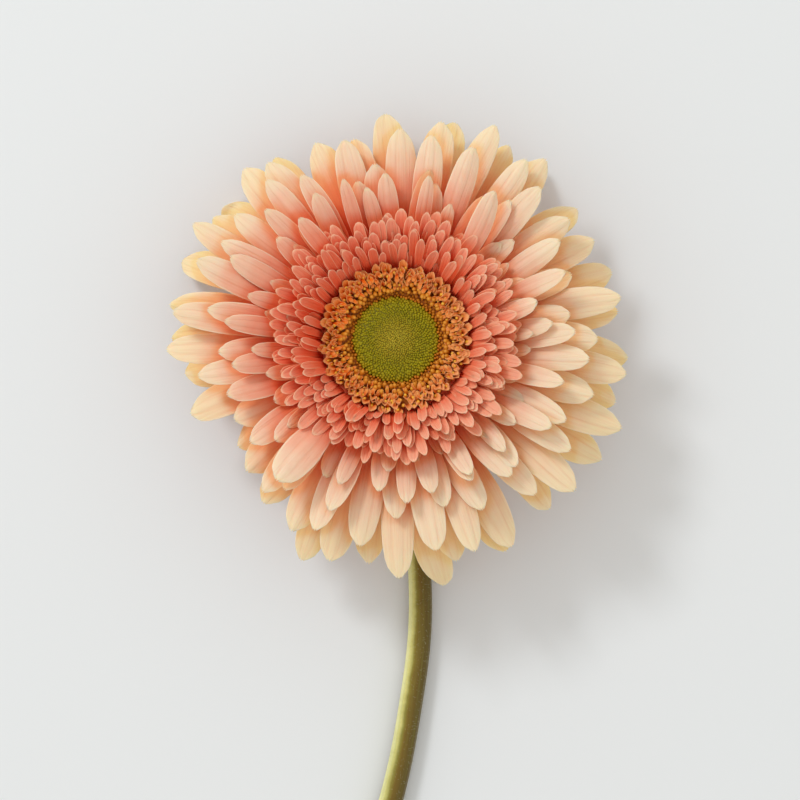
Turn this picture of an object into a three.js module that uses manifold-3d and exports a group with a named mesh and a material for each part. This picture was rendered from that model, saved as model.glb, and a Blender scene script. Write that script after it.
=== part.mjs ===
// A cut gerbera lying on its back: a double, peach-coloured head that faces up, on a scape that
// bends below the head and runs along the table.
// Millimetres, +Z up. The scape runs towards -Y. The origin is the middle of the bounding box in plan, at
// the height of the table.
import * as THREE from "three";
import { mergeVertices } from "three/addons/utils/BufferGeometryUtils.js";
import Module from "manifold-3d";

const wasm = await Module();
wasm.setup();

// ---- driving dimensions, in millimetres and degrees ----
const HEAD_RADIUS = 55.5; // disc centre to the tips of the longest rays, which vary by RAY_SPREAD
const GREEN_RADIUS = 10.2; // the unopened buds in the middle
const FLORET_RADIUS = 16; // outside of the ring of opening disc florets
const TRANS_RADIUS = 18.4; // outside of the ring that carries the trans florets
const TRANS_RING_TOP = 1;
const TRANS_RING_BEVEL = 0.65;
const RECEPTACLE_RADIUS = 18.6;
const RING_SIDES = 36;
const RING_GAP = 0.3; // between neighbouring pieces
const RING_FLOOR = -4.3; // under the three rings, measured from the head's own origin
const RECEPTACLE_TOP = RING_FLOOR - RING_GAP;
const RECEPTACLE_FLOOR = -9.3;
const INVOLUCRE_TOP = RECEPTACLE_FLOOR - RING_GAP;
const INVOLUCRE_FLOOR = -21.5;
const LEAN = 8; // the head's axis leans back from the vertical
const LEAN_AZIMUTH = 105; // towards this side of the table, from +X
const STEM_LENGTH = 400;
const NECK_RADIUS = 2.75; // of the scape just below the head
const CUT_RADIUS = 3.4; // of the scape at its cut end
const NECK_DROP = 8.9; // from the foot of the involucre to the middle of the lying scape
const NECK_REACH = 11; // how far the bend carries the scape towards -Y
const STEM_SIDES = 8;
const STEM_STEP = 9; // between the scape's sections

// Heading of the lying scape, in degrees from -Y towards -X, against the distance from the bend.
const STEM_HEADINGS = [
  [0, -7],
  [40, -3],
  [75, 9],
  [115, 18],
  [180, 17],
  [400, 7],
];

const GOLDEN_ANGLE = 137.50776;
const radians = THREE.MathUtils.degToRad;
const lerp = THREE.MathUtils.lerp;

// ---- the head's own frame, +Z along its axis, against the table ----
const headAxis = new THREE.Vector3(
  Math.sin(radians(LEAN)) * Math.cos(radians(LEAN_AZIMUTH)),
  Math.sin(radians(LEAN)) * Math.sin(radians(LEAN_AZIMUTH)),
  Math.cos(radians(LEAN)),
);
const stemSeat = NECK_RADIUS * Math.cos(Math.PI / STEM_SIDES); // middle of the scape above the table
const headHeight = stemSeat + NECK_DROP - INVOLUCRE_FLOOR * headAxis.z;
const headFrame = new THREE.Matrix4().compose(
  new THREE.Vector3(0, 0, headHeight),
  new THREE.Quaternion().setFromUnitVectors(new THREE.Vector3(0, 0, 1), headAxis),
  new THREE.Vector3(1, 1, 1),
);

// ---- repeatable random draws ----
function seeded(seed) {
  let state = seed;
  return () => {
    state = (1664525 * state + 1013904223) % 4294967296;
    return state / 4294967296;
  };
}

// A draw between -size and +size.
function spread(draw, size) {
  return (2 * draw() - 1) * size;
}

// ---- solids ----
// Joins rings of points into a closed surface: the last ring meets the first one if looped, and else both
// are capped. Each ring runs counter-clockwise as seen from further along.
// The quads' diagonals alternate, which splits the two faces of a thin blade alike.
function loft(rings, looped = false) {
  const sides = rings[0].length;
  const corners = rings.flat().flatMap((p) => [p.x, p.y, p.z]);
  const faces = [];
  for (let i = 0; i + (looped ? 0 : 1) < rings.length; i++) {
    const next = (i + 1) % rings.length;
    for (let j = 0; j < sides; j++) {
      const a = i * sides + j;
      const b = i * sides + ((j + 1) % sides);
      const c = next * sides + ((j + 1) % sides);
      const d = next * sides + j;
      if ((i + j) % 2) faces.push(a, b, d, b, c, d);
      else faces.push(a, b, c, a, c, d);
    }
  }
  const last = (rings.length - 1) * sides;
  for (let j = 1; j + 1 < sides && !looped; j++) {
    faces.push(0, j + 1, j);
    faces.push(last, last + j, last + j + 1);
  }
  return new THREE.BufferGeometry()
    .setAttribute("position", new THREE.Float32BufferAttribute(corners, 3))
    .setIndex(faces);
}

function toSolid(geometry) {
  const bare = geometry.clone();
  bare.deleteAttribute("normal");
  bare.deleteAttribute("uv");
  const merged = mergeVertices(bare, 1e-4);
  return new wasm.Manifold(
    new wasm.Mesh({
      numProp: 3,
      vertProperties: merged.attributes.position.array,
      triVerts: new Uint32Array(merged.index.array),
    }),
  );
}

// Joins pieces into one body. Its outermost shell is kept, which fills any hollow that the pieces seal in.
function fuse(geometries) {
  let joined = toSolid(geometries[0]);
  for (const geometry of geometries.slice(1)) joined = joined.add(toSolid(geometry));
  const shells = joined.decompose();
  const body = shells.reduce((a, b) => (a.volume() > b.volume() ? a : b));
  const mesh = body.getMesh();
  return new THREE.BufferGeometry()
    .setAttribute("position", new THREE.Float32BufferAttribute(mesh.vertProperties, 3))
    .setIndex(new THREE.BufferAttribute(mesh.triVerts, 1));
}

// A body of revolution round the head's axis, from [radius, height] points.
function turned(profile, sides) {
  return new THREE.LatheGeometry(
    profile.map(([r, z]) => new THREE.Vector2(r, z)),
    sides,
  )
    .rotateX(Math.PI / 2)
    .applyMatrix4(headFrame);
}

// ---- florets and bracts: thin blades that leave the head along a curve ----
// A blade starts at radius root[0] and height root[1] on its azimuth, at the slope rise, and ends at
// the slope fall. It bends sideways by sweep and turns about its own length by twist.
const CURVE_STEPS = 12;
function bladeAt(blade, s) {
  const slopeAt = (share) => radians(lerp(blade.rise, blade.fall, share));
  const step = (blade.length * s) / CURVE_STEPS;
  let [radius, height] = blade.root;
  for (let i = 0; i < CURVE_STEPS; i++) {
    const slope = slopeAt((s * (i + 0.5)) / CURVE_STEPS);
    radius += Math.cos(slope) * step;
    height += Math.sin(slope) * step;
  }
  const azimuth = radians(blade.azimuth);
  const out = new THREE.Vector3(Math.cos(azimuth), Math.sin(azimuth), 0);
  const across = new THREE.Vector3(-Math.sin(azimuth), Math.cos(azimuth), 0);
  const along = out.clone().multiplyScalar(Math.cos(slopeAt(s)));
  along.z = Math.sin(slopeAt(s));
  const up = out.clone().multiplyScalar(-Math.sin(slopeAt(s)));
  up.z = Math.cos(slopeAt(s));
  const middle = out.clone().multiplyScalar(radius);
  middle.z = height;
  middle.addScaledVector(across, blade.sweep * blade.length * s * s);
  const turn = radians(blade.twist) * s;
  return {
    middle,
    across: across.clone().applyAxisAngle(along, turn),
    up: up.applyAxisAngle(along, turn),
    along,
  };
}

// Lifts a point that would sink into the table, easing in over a short height above and below it.
const TABLE_EASE = 1.2;
function rest(point, clearance) {
  const above = point.z - clearance;
  const eased = Math.max(0, above + TABLE_EASE) ** 2 / (4 * TABLE_EASE);
  point.z = clearance + (above > TABLE_EASE ? above : eased);
  return point;
}

// The length that takes a blade from its root radius out to the radius of its tip.
function lengthTo(tip, root, rise, fall) {
  const a = radians(rise);
  const b = radians(fall);
  return ((tip - root) * (b - a)) / (Math.sin(b) - Math.sin(a));
}

// A blade's solid: four-sided sections with thin edges, drooping by arch across the width, and a notch
// in the tip. outline gives the share of the width at each share of the length.
function bladeSolid(blade, outline, thickness) {
  const rings = outline.map(([s, share]) => {
    const { middle, across, up, along } = bladeAt(blade, s);
    const half = (blade.width * share) / 2;
    const droop = blade.arch * half;
    const notch = s === 1 ? blade.notch * half : 0;
    const edge = (side) =>
      middle
        .clone()
        .addScaledVector(across, side * half)
        .addScaledVector(up, -droop);
    const face = (side) =>
      middle
        .clone()
        .addScaledVector(up, (side * thickness) / 2)
        .addScaledVector(along, -notch);
    const ring = [edge(1), face(1), edge(-1), face(-1)].map((p) => p.applyMatrix4(headFrame));
    return ring.map((p, i) => rest(p, i === 1 ? thickness : 0));
  });
  return loft(rings);
}

// ---- ray florets: the large outer petals, in a spiral from the lowest to the highest ----
const RAY_COUNT = 148;
const RAY_THICKNESS = 0.8;
const RAY_SPREAD = 3;
const RAY_ROOT_RADIUS = 17.4;
const RAY_ROOT_HEIGHTS = [-8.4, -7.2]; // of the lowest ray and the highest
const RAYS_AT_FULL_LENGTH = 0.223; // this share of the rays, from the lowest, before they get shorter
const SHORTEST_RAY = 0.54; // its tip's share of the head's radius
const RAY_OUTLINE = [
  [0, 0.3],
  [0.35, 0.66],
  [0.66, 1],
  [0.89, 0.79],
  [1, 0.24],
];
// Where the head isn't round: [azimuth, change in the rays' length, half the angle that it takes up].
const UNEVEN_SIDES = [
  [62, 0.06, 28],
  [150, 0.05, 28],
  [211, -0.12, 22],
];

function reachAt(azimuth) {
  return UNEVEN_SIDES.reduce((reach, [middle, change, width]) => {
    const away = THREE.MathUtils.euclideanModulo(azimuth - middle + 180, 360) - 180;
    return reach + change * Math.exp(-((away / width) ** 2));
  }, 1);
}

function rayFlorets() {
  const draw = seeded(28473);
  return Array.from({ length: RAY_COUNT }, (_, k) => {
    const inner = k / (RAY_COUNT - 1); // 0 for the lowest ray, 1 for the highest
    const shorter = Math.max(0, (inner - RAYS_AT_FULL_LENGTH) / (1 - RAYS_AT_FULL_LENGTH)) ** 0.9;
    const steeper = 1 - (1 - inner) ** 2;
    const rise = lerp(4, 50, steeper) + spread(draw, 3);
    const fall = lerp(-56, 24, steeper) + spread(draw, 7);
    const root = [RAY_ROOT_RADIUS, lerp(...RAY_ROOT_HEIGHTS, inner)];
    const evenTip = HEAD_RADIUS * lerp(1, SHORTEST_RAY, shorter) + spread(draw, RAY_SPREAD);
    const azimuth = k * GOLDEN_ANGLE + spread(draw, 3);
    const tip = evenTip * reachAt(azimuth);
    return {
      azimuth,
      root,
      rise,
      fall,
      length: lengthTo(tip, root[0], rise, fall),
      width: lerp(8.6, 2.9, shorter) + spread(draw, 0.7),
      sweep: spread(draw, 0.06),
      twist: spread(draw, 14),
      arch: 0.16 + spread(draw, 0.14),
      notch: 0.9,
    };
  });
}

// ---- trans florets: the short, deep-coloured petals round the disc ----
const TRANS_COUNT = 104;
const TRANS_THICKNESS = 0.7;
const TRANS_OUTLINE = [
  [0, 0.6],
  [0.78, 1],
  [1, 0.46],
];
// The few long florets that stand up out of the trans florets: azimuth, tip radius, width, slope at the
// root, sweep and twist.
const STANDING_ROOT = [17.6, -0.6];
const STANDING_DROOP = 24; // how much flatter their tips are, in degrees
const STANDING = [
  [48, 41, 5.8, 44, 0.16, 34],
  [232, 45, 9, 38, 0, -4],
  [128, 36, 4.4, 46, 0.04, 8],
  [11, 35, 4.8, 43, 0.05, -8],
];
const STANDING_OUTLINE = [
  [0, 0.36],
  [0.35, 0.8],
  [0.7, 1],
  [0.9, 0.7],
  [1, 0.26],
];

function transFlorets() {
  const draw = seeded(31);
  return Array.from({ length: TRANS_COUNT }, (_, k) => {
    const inner = k / (TRANS_COUNT - 1);
    const rise = lerp(50, 78, inner) + spread(draw, 5);
    const fall = lerp(18, 52, inner) + spread(draw, 8);
    const root = [lerp(17.6, 17.3, inner), lerp(-1.6, 0.2, inner)];
    const tip = lerp(31, 21, inner ** 0.9) + spread(draw, 1.6);
    return {
      azimuth: k * GOLDEN_ANGLE + spread(draw, 3),
      root,
      rise,
      fall,
      length: lengthTo(tip, root[0], rise, fall),
      width: lerp(2.9, 2.1, inner) + spread(draw, 0.35),
      sweep: spread(draw, 0.09),
      twist: spread(draw, 16),
      arch: -0.2 + spread(draw, 0.14),
      notch: 0.6,
    };
  });
}

function standingFlorets() {
  return STANDING.map(([azimuth, tip, width, rise, sweep, twist]) => ({
    azimuth,
    root: STANDING_ROOT,
    rise,
    fall: rise - STANDING_DROOP,
    length: lengthTo(tip, STANDING_ROOT[0], rise, rise - STANDING_DROOP),
    width,
    sweep,
    twist,
    arch: 0.2,
    notch: 0.8,
  }));
}

// ---- bodies round the head's axis whose surface is raised by a formula ----
// profileAt gives the [radius, height] points of the section at each of the columns, clockwise.
function raisedRing(columns, profileAt) {
  const sections = Array.from({ length: columns }, (_, i) => {
    const angle = (2 * Math.PI * i) / columns;
    return profileAt(i).map(
      ([r, z]) => new THREE.Vector3(r * Math.cos(angle), r * Math.sin(angle), z),
    );
  });
  return loft(sections, true).applyMatrix4(headFrame);
}

// ---- disc florets: a slope of staggered pegs round the green middle, taller towards the outside ----
const FLORET_COLUMNS = 60; // a peg stands on every second one
const FLORET_ROWS = 6;
const FLORET_RELIEF = [0.25, 0.75]; // inside, outside
const FLORET_SLOPE_FOOT = [11, 0.7];
const FLORET_SLOPE_TOP = [16.9, 3.1];
const FLORET_HEEL = 1.4; // height at which the slope's back meets the ring's upright outside

function discFlorets() {
  return raisedRing(FLORET_COLUMNS, (column) => {
    const slope = Array.from({ length: FLORET_ROWS }, (_, row) => {
      const share = row / (FLORET_ROWS - 1);
      const raised = lerp(...FLORET_RELIEF, share) * ((row + column) % 2 ? 1 : -1);
      return [
        lerp(FLORET_SLOPE_FOOT[0], FLORET_SLOPE_TOP[0], share) - 0.4 * raised,
        lerp(FLORET_SLOPE_FOOT[1], FLORET_SLOPE_TOP[1], share) + raised,
      ];
    });
    return [
      [GREEN_RADIUS + RING_GAP, RING_FLOOR],
      [GREEN_RADIUS + RING_GAP, FLORET_SLOPE_FOOT[1] - 0.6],
      ...slope,
      [FLORET_RADIUS, FLORET_HEEL],
      [FLORET_RADIUS, RING_FLOOR],
    ];
  });
}

// ---- involucre: a bell of pointed, overlapping green bracts, with the tips of the top row free ----
const BRACTS = 17; // in each row
const BRACT_COLUMNS = 4; // across each bract
const BRACT_RELIEF = 0.9;
const BRACT_FLARE = 1.6; // how far the tips of the top row stand out
// The bell's outside, from its rim down: [radius, height, the row of bracts, how far along a bract].
const BELL = [
  [17.2, -10.4, 1, 1],
  [16.6, -12.4, 1, 0.7],
  [15.2, -14.8, 1, 0.35],
  [13.4, -16.6, 0, 1],
  [10.8, -18.5, 0, 0.6],
  [7.2, -20.2, 0, 0.3],
];

function involucre() {
  return raisedRing(BRACTS * BRACT_COLUMNS, (column) => {
    const outside = BELL.map(([r, z, row, along]) => {
      const across = ((column / BRACT_COLUMNS + row / 2) % 1) * 2 - 1; // -1 and 1 at the bract's edges
      const keel = 1 - Math.abs(across);
      const flare = row === 1 ? BRACT_FLARE * keel * along ** 3 : 0;
      return [r + flare + BRACT_RELIEF * keel * along, z - 0.5 * flare];
    });
    return [
      [0, INVOLUCRE_FLOOR],
      [0, INVOLUCRE_TOP],
      [17, INVOLUCRE_TOP],
      ...outside,
      [3.6, INVOLUCRE_FLOOR],
    ];
  });
}

// ---- the green middle: a low dome whose surface is raised in staggered buds ----
const BUDS_ROUND = 40;
const BUD_RINGS = 7;
const BUD_RELIEF = 0.28;
const GREEN_RIM = 0.9;
const GREEN_CROWN = 2.1;

function greenDisc() {
  const ringAt = (radius, height, relief, turn) =>
    Array.from({ length: BUDS_ROUND }, (_, j) => {
      const angle = (2 * Math.PI * j) / BUDS_ROUND;
      const z = height + ((j + turn) % 2 ? relief : -relief);
      return new THREE.Vector3(radius * Math.cos(angle), radius * Math.sin(angle), z);
    });
  const rings = [ringAt(GREEN_RADIUS, RING_FLOOR, 0, 0), ringAt(GREEN_RADIUS, GREEN_RIM, 0, 0)];
  for (let i = 1; i < BUD_RINGS; i++) {
    const radius = GREEN_RADIUS * (1 - i / BUD_RINGS);
    const height = lerp(GREEN_CROWN, GREEN_RIM, (radius / GREEN_RADIUS) ** 2);
    rings.push(ringAt(radius, height, BUD_RELIEF * (radius / GREEN_RADIUS) ** 0.5, i));
  }
  return loft(rings).applyMatrix4(headFrame);
}

// ---- scape: bends from the head down to the table, then runs along it ----
const NECK_STEPS = 7;
const NECK_HANDLES = [0.62, 0.52]; // of the bend's curve, as shares of its drop and its reach

function headingAt(distance) {
  const next = STEM_HEADINGS.findIndex(([at]) => at >= distance);
  if (next < 1) return STEM_HEADINGS[next < 0 ? STEM_HEADINGS.length - 1 : 0][1];
  const [from, a] = STEM_HEADINGS[next - 1];
  const [to, b] = STEM_HEADINGS[next];
  return lerp(a, b, THREE.MathUtils.smoothstep(distance, from, to));
}

function scapePath() {
  const top = new THREE.Vector3(0, 0, INVOLUCRE_FLOOR - RING_GAP).applyMatrix4(headFrame);
  const heading = radians(STEM_HEADINGS[0][1]);
  const forward = new THREE.Vector3(-Math.sin(heading), -Math.cos(heading), 0);
  const foot = top.clone().addScaledVector(forward, NECK_REACH);
  foot.z = stemSeat;
  const neck = new THREE.CubicBezierCurve3(
    top,
    top.clone().addScaledVector(headAxis, -NECK_HANDLES[0] * NECK_DROP),
    foot.clone().addScaledVector(forward, -NECK_HANDLES[1] * NECK_REACH),
    foot,
  );
  const points = neck.getPoints(NECK_STEPS).slice(0, -1);
  const lying = STEM_LENGTH - neck.getLength();
  const steps = Math.round(lying / STEM_STEP);
  const at = foot.clone();
  for (let i = 0; i <= steps; i++) {
    points.push(at.clone());
    const turn = radians(headingAt(((i + 0.5) * lying) / steps));
    at.x -= (Math.sin(turn) * lying) / steps;
    at.y -= (Math.cos(turn) * lying) / steps;
    at.z = scapeRadius((i + 1) / steps) * Math.cos(Math.PI / STEM_SIDES);
  }
  return points;
}

function scapeRadius(share) {
  return lerp(NECK_RADIUS, CUT_RADIUS, share);
}

function scape() {
  const points = scapePath();
  const lyingSteps = points.length - 1 - NECK_STEPS;
  const rings = points.map((point, i) => {
    const before = points[Math.max(0, i - 1)];
    const after = points[Math.min(points.length - 1, i + 1)];
    const along = i === 0 ? headAxis.clone().negate() : after.clone().sub(before).normalize();
    const side = new THREE.Vector3(1, 0, 0).addScaledVector(along, -along.x).normalize();
    const up = new THREE.Vector3().crossVectors(along, side);
    const radius = scapeRadius(Math.max(0, (i - NECK_STEPS) / lyingSteps));
    return Array.from({ length: STEM_SIDES }, (_, j) => {
      const angle = (2 * Math.PI * (j + 0.5)) / STEM_SIDES; // a flat side faces down
      return point
        .clone()
        .addScaledVector(side, radius * Math.cos(angle))
        .addScaledVector(up, radius * Math.sin(angle));
    });
  });
  return loft(rings);
}

// ---- the pieces ----
const material = (colour, roughness) =>
  new THREE.MeshStandardMaterial({ color: colour, roughness, metalness: 0 });

function node(name, geometry, look) {
  const mesh = new THREE.Mesh(geometry, look);
  mesh.name = name;
  return mesh;
}

const receptacle = turned(
  [
    [0, RECEPTACLE_FLOOR],
    [RECEPTACLE_RADIUS, RECEPTACLE_FLOOR],
    [RECEPTACLE_RADIUS, RECEPTACLE_TOP],
    [0, RECEPTACLE_TOP],
  ],
  RING_SIDES,
);

const transRing = turned(
  [
    [FLORET_RADIUS + RING_GAP, RING_FLOOR],
    [TRANS_RADIUS, RING_FLOOR],
    [TRANS_RADIUS, TRANS_RING_TOP - TRANS_RING_BEVEL],
    [TRANS_RADIUS - TRANS_RING_BEVEL, TRANS_RING_TOP],
    [FLORET_RADIUS + RING_GAP, TRANS_RING_TOP],
    [FLORET_RADIUS + RING_GAP, RING_FLOOR],
  ],
  RING_SIDES,
);

const head = new THREE.Group();
head.add(
  node(
    "ray_florets",
    fuse([receptacle, ...rayFlorets().map((b) => bladeSolid(b, RAY_OUTLINE, RAY_THICKNESS))]),
    material(0xf6cfa8, 0.55),
  ),
  node(
    "trans_florets",
    fuse([
      transRing,
      ...transFlorets().map((b) => bladeSolid(b, TRANS_OUTLINE, TRANS_THICKNESS)),
      ...standingFlorets().map((b) => bladeSolid(b, STANDING_OUTLINE, RAY_THICKNESS)),
    ]),
    material(0xe98a6b, 0.55),
  ),
  node("disc_florets", discFlorets(), material(0xd67a3c, 0.6)),
  node("green_buds", greenDisc(), material(0x96941f, 0.65)),
  node("involucre", involucre(), material(0x6f8a3a, 0.7)),
);

const flower = new THREE.Group();
flower.add(head, node("scape", scape(), material(0x7a7a2c, 0.6)));

// Puts the origin at the middle of the bounding box, at table height.
const bounds = new THREE.Box3().setFromObject(flower, true);
flower.position.set(
  -(bounds.min.x + bounds.max.x) / 2,
  -(bounds.min.y + bounds.max.y) / 2,
  -bounds.min.z,
);

export default flower;
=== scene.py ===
"""A cut gerbera that lies face up on a pale table, finished round its fixed frame.

Lengths are in millimetres until a mesh is made, and angles in degrees unless a comment says otherwise.
The head has its own frame, with +Z along its axis. A blade is any petal, lobe or bract.
"""

import math

import bpy
import numpy as np
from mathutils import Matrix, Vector
from numpy import radians


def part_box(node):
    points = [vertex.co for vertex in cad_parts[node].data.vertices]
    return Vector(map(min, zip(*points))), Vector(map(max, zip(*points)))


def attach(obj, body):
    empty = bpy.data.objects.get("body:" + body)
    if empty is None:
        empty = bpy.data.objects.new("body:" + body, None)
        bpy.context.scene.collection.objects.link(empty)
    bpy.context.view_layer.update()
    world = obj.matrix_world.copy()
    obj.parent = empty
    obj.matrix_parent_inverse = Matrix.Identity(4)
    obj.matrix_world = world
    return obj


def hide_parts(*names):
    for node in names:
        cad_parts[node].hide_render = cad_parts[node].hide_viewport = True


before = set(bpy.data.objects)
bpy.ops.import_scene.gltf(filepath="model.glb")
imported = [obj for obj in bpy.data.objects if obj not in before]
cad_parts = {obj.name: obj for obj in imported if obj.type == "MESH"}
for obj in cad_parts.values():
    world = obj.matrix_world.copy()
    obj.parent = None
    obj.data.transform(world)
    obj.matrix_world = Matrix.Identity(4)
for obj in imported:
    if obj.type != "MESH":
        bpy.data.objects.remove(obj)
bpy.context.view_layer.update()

MM = 0.001
GOLDEN_ANGLE = 137.50776

# ---- the head's measures, as in the frame ----
HEAD_RADIUS = 55.5  # disc centre to the tips of the longest rays, which vary by RAY_SPREAD
GREEN_RADIUS = 10.2
GREEN_RIM = 0.9
GREEN_CROWN = 2.1
FLORET_RADIUS = 16
TRANS_RADIUS = 18.4
TRANS_RING_TOP = 1
RECEPTACLE_RADIUS = 18.6
RING_GAP = 0.3  # between neighbouring pieces
RING_FLOOR = -4.3  # under the three rings, measured from the head's own origin
RECEPTACLE_TOP = RING_FLOOR - RING_GAP
RECEPTACLE_FLOOR = -9.3
INVOLUCRE_TOP = RECEPTACLE_FLOOR - RING_GAP
INVOLUCRE_FLOOR = -21.5
LEAN = 8  # the head's axis leans back from the vertical
LEAN_AZIMUTH = 105

# ---- the scape's measures, as in the frame ----
STEM_LENGTH = 400
NECK_RADIUS = 2.75
CUT_RADIUS = 3.4
NECK_DROP = 8.9  # from the foot of the involucre to the middle of the lying scape
NECK_REACH = 11  # how far the bend carries the scape towards -Y
NECK_HANDLES = (0.62, 0.52)  # of the bend's curve, as shares of its drop and its reach
# Heading of the lying scape, from -Y towards -X, against the distance from the bend.
STEM_HEADINGS = ((0, -7), (40, -3), (75, 9), (115, 18), (180, 17), (400, 7))


def lerp(a, b, share):
    return a + (b - a) * share


def directions(azimuth):
    """Level directions outwards and sideways on an azimuth."""
    turn = radians(azimuth)
    out = np.array([math.cos(turn), math.sin(turn), 0])
    return out, np.array([-math.sin(turn), math.cos(turn), 0])


def leaning(azimuth, tilt):
    """The direction that tilts from +Z towards an azimuth."""
    lean = radians(tilt)
    return directions(azimuth)[0] * math.sin(lean) + np.array([0, 0, math.cos(lean)])


# ---- where the head stands ----
HEAD_AXIS = leaning(LEAN_AZIMUTH, LEAN)
HEAD_TURN = np.array(Vector((0, 0, 1)).rotation_difference(Vector(HEAD_AXIS)).to_matrix())


def head_origin():
    """The head's origin, from the lowest corner of the round green middle's box."""
    low = np.array(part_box("green_buds")[0]) / MM
    ends = np.minimum(RING_FLOOR * HEAD_AXIS, GREEN_RIM * HEAD_AXIS)
    return low - ends + GREEN_RADIUS * np.sqrt(1 - HEAD_AXIS**2)


HEAD = head_origin()


def on_table(points):
    """Points of the head's own frame, in the table's frame."""
    return points @ HEAD_TURN.T + HEAD


def on_axis(height):
    """A point of the head's axis, in the table's frame."""
    return on_table(np.array([[0, 0, height]]))[0]


# ---- repeatable random draws ----
def seeded(seed):
    """The same draws as the frame's, between 0 and 1."""
    state = seed
    while True:
        state = (1664525 * state + 1013904223) % 4294967296
        yield state / 4294967296


def spread(draw, size):
    return (2 * next(draw) - 1) * size


# ---- meshes ----
def make_piece(name, node, parts, material):
    """One object from (points, faces, values) parts.

    values holds a number or a vector for each point, under the name of its attribute.
    """
    points, faces, count = [], [], 0
    for part_points, part_faces, _ in parts:
        points.append(part_points)
        faces += [[count + i for i in face] for face in part_faces]
        count += len(part_points)
    mesh = bpy.data.meshes.new(name)
    mesh.from_pydata((np.concatenate(points) * MM).tolist(), [], faces)
    for key in parts[0][2]:
        column = np.concatenate([np.asarray(values[key], dtype=float) for _, _, values in parts])
        kind, field = ("FLOAT_VECTOR", "vector") if column.ndim == 2 else ("FLOAT", "value")
        attribute = mesh.attributes.new(key, kind, "POINT")
        attribute.data.foreach_set(field, column.ravel())
    mesh.shade_smooth()
    mesh.materials.append(material)
    piece = bpy.data.objects.new(name, mesh)
    bpy.context.scene.collection.objects.link(piece)
    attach(piece, "root")
    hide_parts(node)
    return piece


def band_faces(rings, sides, start=0):
    """Quads between closed rings of points."""
    faces = []
    for i in range(rings - 1):
        for j in range(sides):
            a = start + i * sides + j
            b = start + i * sides + (j + 1) % sides
            faces.append((a, b, b + sides, a + sides))
    return faces


def cap(start, sides):
    return tuple(range(start, start + sides))


def repeated(values, count):
    """The same values for each of a part's points."""
    return {key: np.full((count, *np.shape(value)), value, float) for key, value in values.items()}


NEAR_AXIS = 0.01  # a turned profile starts and ends this far from the head's axis
CORE_SIDES = 60


def turned(profile, values, sides=CORE_SIDES):
    """A solid of revolution round the head's axis; the profile's ends lie near the axis or meet."""
    radius, height = np.array(profile, dtype=float).T[..., None]
    angle = 2 * math.pi * np.arange(sides) / sides
    circles = (radius * np.cos(angle), radius * np.sin(angle), np.repeat(height, sides, axis=1))
    points = np.stack(circles, axis=2).reshape(-1, 3)
    return on_table(points), band_faces(len(profile), sides), repeated(values, len(points))


# ---- blades ----
# A blade leaves the head on its azimuth, from its root's radius and height, at the slope rise, and ends
# at the slope fall. It bends sideways by sweep, turns about its own length by twist, and droops by arch
# across its width. On its sheet, s goes from 0 at the root to 1 at the tip, and u from -1 to 1 across.
CURVE_STEPS = 12
TABLE_EASE = 1.2
ROW_CROWDING = 1.35  # above 1, the rows crowd towards the tip
EDGE_TURN = 1.5  # a quarter turn, in radians, would crowd the columns most towards the edges
TEETH = 3
TEETH_FALLOFF = 14  # a power of s: the higher it is, the nearer to the tip the form stays
ROUNDING_FALLOFF = 8
CREASE_FALLOFF = 5
GROOVE_WIDTH = 0.12  # as a share of half the blade's width
ARCH_FOLD = 0.35  # the share of the arch that is a fold along the middle; the rest is round
EDGE_LAG = 0.25  # in waves, each way: the two edges wave in turn
EDGE_THICKNESS = 0.28  # as a share of the thickness in the middle
TIP_THINNING = 0.5
GRAIN_STEP = 7.3  # sets the pattern of each blade apart from its neighbours'
CREASES = (-0.4, 1)  # the weakest, which is turned up, and the strongest
WAVES = (0.8, 2.2)  # how many run along an edge, at least and at most
# Painted shade: the coral is carried further out on the side of the head towards the key lamp, darkening
# that side as shade would.
PAINTED_SHADE_AZIMUTH = 150  # the azimuth on which the coral reaches furthest out
PAINTED_SHADE_REACH = 0.18


def rest(points, clearance):
    """Lifts what would sink into the table, easing in over a short height."""
    above = points[..., 2] - clearance
    eased = np.maximum(0, above + TABLE_EASE) ** 2 / (4 * TABLE_EASE)
    points[..., 2] = clearance + np.where(above > TABLE_EASE, above, eased)
    return points


def blade_to(tip, root, rise, fall, **others):
    """A blade that is as long as takes it out to the radius of its tip."""
    a, b = radians(rise), radians(fall)
    length = (tip - root[0]) * (b - a) / (math.sin(b) - math.sin(a))
    return dict(root=root, rise=rise, fall=fall, length=length, **others)


def slope_at(blade, s):
    return radians(lerp(blade["rise"], blade["fall"], s))


def blade_curve(blade, s):
    """The radius and height of the middle line at each share s of the length."""
    step = blade["length"] * s / CURVE_STEPS
    radius = np.full(s.shape, float(blade["root"][0]))
    height = np.full(s.shape, float(blade["root"][1]))
    for i in range(CURVE_STEPS):
        slope = slope_at(blade, s * (i + 0.5) / CURVE_STEPS)
        radius = radius + np.cos(slope) * step
        height = height + np.sin(slope) * step
    return radius, height


def blade_frames(blade, s):
    """The middle line and the directions across and up at each share s of the length."""
    radius, height = blade_curve(blade, s)
    out, side = directions(blade["azimuth"])
    axis = np.array([0, 0, 1.0])
    slope = slope_at(blade, s)[..., None]
    along = np.cos(slope) * out + np.sin(slope) * axis
    up = -np.sin(slope) * out + np.cos(slope) * axis
    turn = radians(blade["twist"]) * s[..., None]
    across = np.cos(turn) * side + np.sin(turn) * np.cross(along, side)
    up_turned = np.cos(turn) * up - np.sin(turn) * side
    middle = radius[..., None] * out + height[..., None] * axis
    middle = middle + (blade["sweep"] * blade["length"] * s**2)[..., None] * side
    return middle, across, up_turned


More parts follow.
